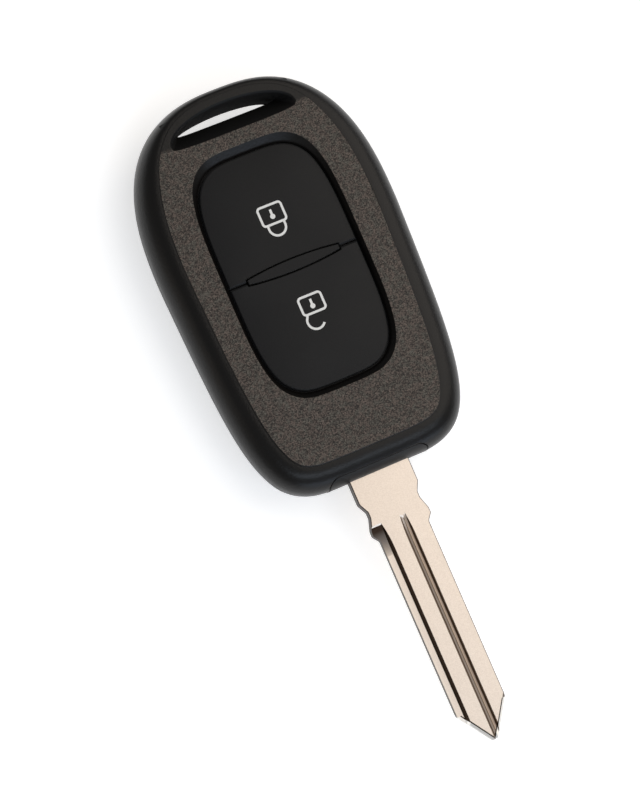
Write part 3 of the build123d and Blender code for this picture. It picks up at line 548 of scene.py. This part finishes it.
# %% Painted light and shade of the milling
def channel_and_painted_lines(tree, across, sunk):
    """The channel, and the painted shade lines that run along it."""
    from_middle = add_node(tree, MATH, {0: across, 1: CHANNEL_X}, 0, operation="SUBTRACT")
    within = add_node(tree, MATH, {0: from_middle, 1: 0.0, 2: CHANNEL_HALF}, 0, operation="COMPARE")
    channel = add_node(tree, MATH, {0: within, 1: sunk}, 0, operation="MULTIPLY")
    lines = add_node(tree, MATH, {0: from_middle, 1: 0.0, 2: MIDDLE_LINE_HALF}, 0, operation="COMPARE")
    for line_x in CORNER_LINES_X:
        line = add_node(tree, MATH, {0: from_middle, 1: line_x, 2: LINE_HALF}, 0, operation="COMPARE")
        lines = add_node(tree, MATH, {0: lines, 1: line}, 0, operation="MAXIMUM")
    return channel, lines


def painted_cut_shade(tree, along, across, upright, sunk, channel):
    """Painted shade on steep walls outside the channel, and on the start of the ledge, which fades towards
    the tip.
    """
    flatness = add_node(tree, MATH, {0: upright}, 0, operation="ABSOLUTE")
    steep = add_node(tree, STRETCH, {"Value": flatness, "From Min": WALL_STEEP, "From Max": WALL_FLAT,
                                     "To Min": 1.0, "To Max": 0.0}, 0)
    outside = add_node(tree, MATH, {0: 1.0, 1: channel}, 0, operation="SUBTRACT")
    wall_shade = add_node(tree, MATH, {0: steep, 1: outside}, 0, operation="MULTIPLY")
    nearness = add_node(tree, STRETCH, {"Value": along, "From Min": MILLING_START_Y - RUN_IN_LENGTH,
                                        "From Max": MILLING_START_Y - RUN_IN_DARK}, 0)
    fade = add_node(tree, MATH, {0: nearness, 1: RUN_IN_POWER}, 0, operation="POWER")
    on_ledge = add_node(tree, MATH, {0: across, 1: LEDGE_X}, 0, operation="LESS_THAN")
    run_in_shade = add_node(tree, MATH, {0: fade, 1: on_ledge}, 0, operation="MULTIPLY")
    run_in_shade = add_node(tree, MATH, {0: run_in_shade, 1: sunk}, 0, operation="MULTIPLY")
    return add_node(tree, MATH, {0: wall_shade, 1: run_in_shade}, 0, operation="MAXIMUM")


def tip_painted_light(tree, axes):
    """The painted shade line beside the slanted edges of the tip, and the painted highlight outside that
    line.
    """
    offset = add_node(tree, MATH, {0: axes["X"]}, 0, operation="ABSOLUTE")
    from_side = add_node(tree, MATH, {0: offset, 1: BLADE_HALF_WIDTH}, 0, operation="SUBTRACT")
    from_tip = add_node(tree, MATH, {0: axes["Y"], 1: TIP_Y + TIP_LENGTH}, 0, operation="SUBTRACT")
    sideways = add_node(tree, MATH, {0: from_side, 1: TIP_SLANT[0]}, 0, operation="MULTIPLY")
    lengthways = add_node(tree, MATH, {0: from_tip, 1: TIP_SLANT[1]}, 0, operation="MULTIPLY")
    slant = add_node(tree, MATH, {0: sideways, 1: lengthways}, 0, operation="ADD")
    near_tip = add_node(tree, MATH, {0: from_tip, 1: 0.0}, 0, operation="LESS_THAN")
    line = add_node(tree, MATH, {0: slant, 1: -TIP_BEVEL, 2: LINE_HALF}, 0, operation="COMPARE")
    line = add_node(tree, MATH, {0: line, 1: near_tip}, 0, operation="MULTIPLY")
    facet_highlight = add_node(tree, MATH, {0: slant, 1: -TIP_BEVEL}, 0, operation="GREATER_THAN")
    facet_highlight = add_node(tree, MATH, {0: facet_highlight, 1: near_tip}, 0, operation="MULTIPLY")
    return line, facet_highlight


# %% [markdown]
# The painted light and shade are then laid one over the other, each with a Mix node: the channel's painted
# shade with its lines, the painted shade of the cuts, the painted highlight on the rim of the tip, and last
# the thin painted shade line beside it.

# %% Colour of the blade, with its painted light and shade
def paint_milling_light(tree, place, facing, face):
    """Colour of the blade, with painted shade on walls, run-in, lines and channel, and a painted highlight
    on the rim of the tip.
    """
    axes = add_node(tree, "ShaderNodeSeparateXYZ", {0: place}).outputs
    upright = add_node(tree, "ShaderNodeSeparateXYZ", {0: facing}, "Z")
    height = add_node(tree, MATH, {0: axes["Z"], 1: BLADE_MIDDLE}, 0, operation="SUBTRACT")
    side = add_node(tree, MATH, {0: height}, 0, operation="SIGN")
    across = add_node(tree, MATH, {0: axes["X"], 1: side}, 0, operation="MULTIPLY")
    depth = add_node(tree, MATH, {0: height}, 0, operation="ABSOLUTE")
    sunk = add_node(tree, MATH, {0: depth, 1: BLADE_HALF - SUNK_DEPTH}, 0, operation="LESS_THAN")
    channel, lines = channel_and_painted_lines(tree, across, sunk)
    dark = painted_cut_shade(tree, axes["Y"], across, upright, sunk, channel)
    tip_shade_line, facet_highlight = tip_painted_light(tree, axes)
    # Painted shade of the channel's sloping floor, with darker painted shade lines in its corners and along
    # its middle ridge.
    channel_shade = add_node(tree, MIX, {0: lines, COLOUR_A: colour("#b8a797"), COLOUR_B: colour("#6b5849")},
                    COLOUR_OUT, data_type="RGBA")
    # Layers of painted light: the channel's shade, the shade of the cuts, the highlight on the tip's
    # facets, and the shade line beside them.
    layers = [(channel, channel_shade), (dark, colour(CUT_SHADE)), (facet_highlight, colour("#f4f1ec")),
              (tip_shade_line, colour(CUT_SHADE))]
    for share, paint in layers:
        face = add_node(tree, MIX, {0: share, COLOUR_A: face, COLOUR_B: paint}, COLOUR_OUT,
                        data_type="RGBA")
    return face


# %% [markdown]
# Plated and rolled metals are fully metallic, so their look comes from what they mirror and from how
# rough they are. The blank is drawn along its length, which leaves fine lines from the head to the tip:
# noise that a Mapping node stretches along the key. A fine speckle breaks up the tone.

# %% Nickel-plated blade and steel of the small parts
DRAWN_LINE_MM = 0.12
SPECKLE_MM = 0.16
GLOSSIER = 0.08             # how far the lines take the roughness down
DULLER = 0.1                # and up


def metal_material(name, light, dark, roughness, along_mm, milled=False):
    """Metal with fine drawing lines along the key, and with the painted light and shade of the blade's
    milling where that is asked for.
    """
    material, tree, surface = new_material(name)
    coordinates = add_node(tree, "ShaderNodeTexCoord").outputs
    place = coordinates["Object"]
    across = 1 / (DRAWN_LINE_MM * MM)
    drawn = add_node(tree, "ShaderNodeMapping",
                     {"Vector": place, "Scale": (across, 1 / (along_mm * MM), across)}, 0)
    lines = add_node(tree, NOISE, {"Vector": drawn, "Scale": 1.0, "Detail": 3.0}, "Fac")
    speckle = add_node(tree, NOISE, {"Vector": place, "Scale": 1 / (SPECKLE_MM * MM), "Detail": 2.0}, "Fac")
    tone = add_node(tree, STRETCH, {"Value": speckle, "From Min": 0.3, "From Max": 0.7}, 0)
    face = add_node(tree, MIX, {0: tone, COLOUR_A: colour(dark), COLOUR_B: colour(light)}, COLOUR_OUT,
                    data_type="RGBA")
    # The blade's painted reflection: painted shade on its cuts and a painted highlight at its tip.
    if milled:
        face = paint_milling_light(tree, place, coordinates["Normal"], face)
    wire(tree, surface, {
        "Base Color": face,
        "Metallic": 1.0,
        "Roughness": add_node(tree, STRETCH, {"Value": lines, "To Min": roughness - GLOSSIER,
                                              "To Max": roughness + DULLER}, 0),
        "Normal": relief(tree, lines, depth_mm=0.004, edge_mm=0.05),
    })
    return material


nickel = metal_material("nickel_plated_drawn_painted_reflections", "#f1e5d9", "#e4d7ca", 0.4, 6.0, milled=True)
steel = metal_material("stainless_steel_rolled", "#c8c8ca", "#b4b4b6", 0.35, 2.0)
print("metals:", nickel.name, steel.name)


# %% [markdown]
# Inside the head, most pieces only show when the key is taken apart, but each has its own finish: a
# green board, moulded switch bodies, plated contacts, ceramic parts and a copper winding. They differ
# in two tones, roughness, size of cell and whether they are metal, so one function takes these values
# from a table.

# %% Finishes of the pieces inside
ROUGHNESS_SWING = 0.05


def plain_finish(name, light, dark, roughness, cell_mm, metallic=0.0):
    """Simple surface with a slow change of tone and a fine relief of the given cell size."""
    material, tree, surface = new_material(name)
    place = add_node(tree, "ShaderNodeTexCoord", output="Object")
    cells = add_node(tree, NOISE, {"Vector": place, "Scale": 1 / (cell_mm * MM), "Detail": 2.0}, "Fac")
    tone = add_node(tree, MIX, {0: cells, COLOUR_A: colour(dark), COLOUR_B: colour(light)}, COLOUR_OUT,
                    data_type="RGBA")
    wire(tree, surface, {
        "Base Color": tone,
        "Roughness": add_node(tree, STRETCH, {"Value": cells, "To Min": roughness - ROUGHNESS_SWING,
                                              "To Max": roughness + ROUGHNESS_SWING}, 0),
        "Metallic": metallic,
        "Normal": relief(tree, cells, depth_mm=0.01),
    })
    return material


# Each row holds the light tone, dark tone, roughness, cell in mm and metallic, and then the pieces.
inner_finishes = {
    "solder_resist_on_laminate": (("#1f6b3a", "#17552d", 0.35, 1.2), ["circuit_board"]),
    "moulded_black_nylon": (("#26262a", "#1b1b1e", 0.5, 0.3), [
        "lock_switch_body", "unlock_switch_body", "cell_gasket"]),
    "moulded_natural_nylon": (("#d9d2bf", "#c9c1ab", 0.45, 0.3), [
        "lock_switch_plunger", "unlock_switch_plunger"]),
    "moulded_epoxy": (("#1c1c1e", "#141416", 0.55, 0.2), ["controller_chip", "chip_resistors"]),
    "fired_ceramic": (("#b59a76", "#9c805c", 0.5, 0.2), ["ceramic_capacitors"]),
    "sintered_ferrite": (("#38373a", "#29282b", 0.6, 0.15), ["transponder_coil_core"]),
    "enamelled_copper_wire": (("#c97b45", "#a85d2c", 0.3, 0.35, 1.0), ["transponder_coil_winding"]),
    "tinned_spring_bronze": (("#cfcabf", "#b8b2a5", 0.35, 0.5, 1.0), [
        "positive_contact", "negative_contact", "lock_switch_terminals", "unlock_switch_terminals"]),
}
finish_of = {
    "front_shell": grained_abs,
    "rear_shell": satin_abs,
    "blade_carrier": satin_abs,
    "button_pad": rubber,
    "lock_button": rubber,
    "unlock_button": rubber,
    "lock_symbol": inlay,
    "unlock_symbol": inlay,
    "key_blade": nickel,
}
for name, (values, members) in inner_finishes.items():
    finish = plain_finish(name, *values)
    for member in members:
        finish_of[member] = finish
in_steel = [name for name in nodes if name not in finish_of]
for name in in_steel:
    finish_of[name] = steel
print("pieces in steel:", in_steel)


# %% [markdown]
# The frame's meshes are loose triangles, so Blender would shade each one flat. A small Geometry Nodes
# tree merges the points that lie on each other, marks every edge that turns by more than an angle as
# sharp and shades the rest smooth. It merges only within half a thousandth of a millimetre, so no shape
# changes, and the angle is an input of the tree.

# %% Tree that shades a mesh smooth between its real edges
MERGE_DISTANCE = 0.0005 * MM


def smooth_tree():
    """Geometry Nodes tree: merge the loose points, then shade smooth up to an angle."""
    tree = bpy.data.node_groups.new("smooth_between_edges", "GeometryNodeTree")
    tree.interface.new_socket("Geometry", in_out="INPUT", socket_type="NodeSocketGeometry")
    tree.interface.new_socket("Angle", in_out="INPUT", socket_type="NodeSocketFloat")
    tree.interface.new_socket("Geometry", in_out="OUTPUT", socket_type="NodeSocketGeometry")
    entry = add_node(tree, "NodeGroupInput").outputs
    joined = add_node(tree, "GeometryNodeMergeByDistance",
                      {"Geometry": entry["Geometry"], "Distance": MERGE_DISTANCE}, 0)
    bend = add_node(tree, "GeometryNodeInputMeshEdgeAngle", output="Unsigned Angle")
    sharp = add_node(tree, "FunctionNodeCompare", {0: bend, 1: entry["Angle"]}, 0,
                     data_type="FLOAT", operation="GREATER_THAN")
    faces = add_node(tree, "GeometryNodeSetShadeSmooth", {"Geometry": joined, "Shade Smooth": True}, 0,
                     domain="FACE")
    edges = add_node(tree, "GeometryNodeSetShadeSmooth",
                     {"Geometry": faces, "Selection": sharp, "Shade Smooth": False}, 0, domain="EDGE")
    add_node(tree, "NodeGroupOutput", {"Geometry": edges})
    return tree


smoothing = smooth_tree()
angle_input = [item.identifier for item in smoothing.interface.items_tree
               if item.name == "Angle" and item.in_out == "INPUT"][0]
print("steps of the smoothing tree:", len(smoothing.nodes))


# %% [markdown]
# Now every piece gets its finish and the smoothing tree. On most pieces a bend of more than 28 degrees
# is a real edge. The blade's cuts meet its faces at flatter angles, so 14 degrees is the limit there.

# %% Dress every node of the frame
REAL_EDGE_DEGREES = 28
BLADE_EDGE_DEGREES = 14
for name, node in nodes.items():
    node.data.materials.clear()
    node.data.materials.append(finish_of[name])
    modifier = node.modifiers.new("smooth_between_edges", "NODES")
    modifier.node_group = smoothing
    degrees = BLADE_EDGE_DEGREES if name == "key_blade" else REAL_EDGE_DEGREES
    modifier[angle_input] = math.radians(degrees)
print("pieces dressed:", len(nodes))


# %% [markdown]
# Under the board lies the transponder's coil. On the real one a fine enamelled wire is wound round a
# ferrite core, turn beside turn. The turns repeat at a steady pitch, which is what Geometry Nodes do
# well: one rounded loop is swept with the round section of the wire and set on a row of points. The
# real wire is about 0.05 mm thick, and it is drawn at 0.2 mm so that its turns can be told apart.

# %% Tree that lays the turns of the coil
CORNER_STEPS = 4
WIRE_SIDES = 8


def coil_tree():
    """Geometry Nodes tree: a rounded loop of wire, repeated along X."""
    tree = bpy.data.node_groups.new("coil_turns", "GeometryNodeTree")
    sockets = {"Loop Width": "Float", "Loop Height": "Float", "Corner": "Float", "Wire": "Float",
               "Pitch": "Float", "Turns": "Int", "Start": "Vector", "Finish": "Material"}
    for name, kind in sockets.items():
        tree.interface.new_socket(name, in_out="INPUT", socket_type="NodeSocket" + kind)
    tree.interface.new_socket("Geometry", in_out="OUTPUT", socket_type="NodeSocketGeometry")
    entry = add_node(tree, "NodeGroupInput").outputs
    loop = add_node(tree, "GeometryNodeCurvePrimitiveQuadrilateral",
                    {"Width": entry["Loop Width"], "Height": entry["Loop Height"]}, 0)
    rounded = add_node(tree, "GeometryNodeFilletCurve",
                       {"Curve": loop, "Radius": entry["Corner"], "Count": CORNER_STEPS}, 0, mode="POLY")
    section = add_node(tree, "GeometryNodeCurvePrimitiveCircle",
                       {"Radius": entry["Wire"], "Resolution": WIRE_SIDES}, 0)
    turn_of_wire = add_node(tree, "GeometryNodeCurveToMesh",
                            {"Curve": rounded, "Profile Curve": section}, 0)
    step = add_node(tree, "ShaderNodeCombineXYZ", {"X": entry["Pitch"]}, 0)
    row = add_node(tree, "GeometryNodeMeshLine",
                   {"Count": entry["Turns"], "Start Location": entry["Start"], "Offset": step}, 0)
    across_the_row = (math.pi / 2, 0, math.pi / 2)
    turns = add_node(tree, "GeometryNodeInstanceOnPoints",
                     {"Points": row, "Instance": turn_of_wire, "Rotation": across_the_row}, 0)
    real = add_node(tree, "GeometryNodeRealizeInstances", {"Geometry": turns}, 0)
    dressed = add_node(tree, "GeometryNodeSetMaterial", {"Geometry": real, "Material": entry["Finish"]}, 0)
    add_node(tree, "NodeGroupOutput", {"Geometry": dressed})
    return tree


coil_turns_tree = coil_tree()
print("steps of the coil's tree:", len(coil_turns_tree.nodes))


# %% [markdown]
# The coil fills the box of the plain winding that it stands for, so its loop, pitch and number of turns
# are worked out from that box and the wire. The tree runs as a modifier on an empty mesh, and its result
# is copied to a plain mesh. Then the faces are turned outwards and shaded smooth, because a swept wire
# is round.

# %% Wind the coil
WIRE_RADIUS = 0.1 * MM
COIL_CORNER = 0.5 * MM
low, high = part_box("transponder_coil_winding")
middle = (low + high) / 2
turn_count = int((high.x - low.x) / (2 * WIRE_RADIUS))
pitch = (high.x - low.x) / turn_count
coil_values = {
    "Loop Width": high.y - low.y - 2 * WIRE_RADIUS,
    "Loop Height": high.z - low.z - 2 * WIRE_RADIUS,
    "Corner": COIL_CORNER,
    "Wire": WIRE_RADIUS,
    "Pitch": pitch,
    "Turns": turn_count,
    "Start": (low.x + pitch / 2, middle.y, middle.z),
    "Finish": finish_of["transponder_coil_winding"],
}
host = bpy.data.objects.new("coil_host", bpy.data.meshes.new("coil_host"))
scene.collection.objects.link(host)
winding = host.modifiers.new("coil_turns", "NODES")
winding.node_group = coil_turns_tree
for item in coil_turns_tree.interface.items_tree:
    if item.in_out == "INPUT":
        winding[item.identifier] = coil_values[item.name]
graph = bpy.context.evaluated_depsgraph_get()
coil_mesh = bpy.data.meshes.new_from_object(host.evaluated_get(graph))
bpy.data.objects.remove(host)
shape = bmesh.new()
shape.from_mesh(coil_mesh)
bmesh.ops.recalc_face_normals(shape, faces=shape.faces)
for face in shape.faces:
    face.smooth = True
coil_volume = shape.calc_volume(signed=True) / MM ** 3
print("coil turns:", turn_count, "faces:", len(shape.faces), "volume in mm3:", round(coil_volume, 3))
shape.to_mesh(coil_mesh)
shape.free()
coil = bpy.data.objects.new("coil_turns", coil_mesh)
scene.collection.objects.link(coil)
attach(coil, "fob_body")
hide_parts("transponder_coil_winding")


# %% [markdown]
# Plain colour management keeps a written colour as it is.

# %% Finish
scene.view_settings.view_transform = "Standard"
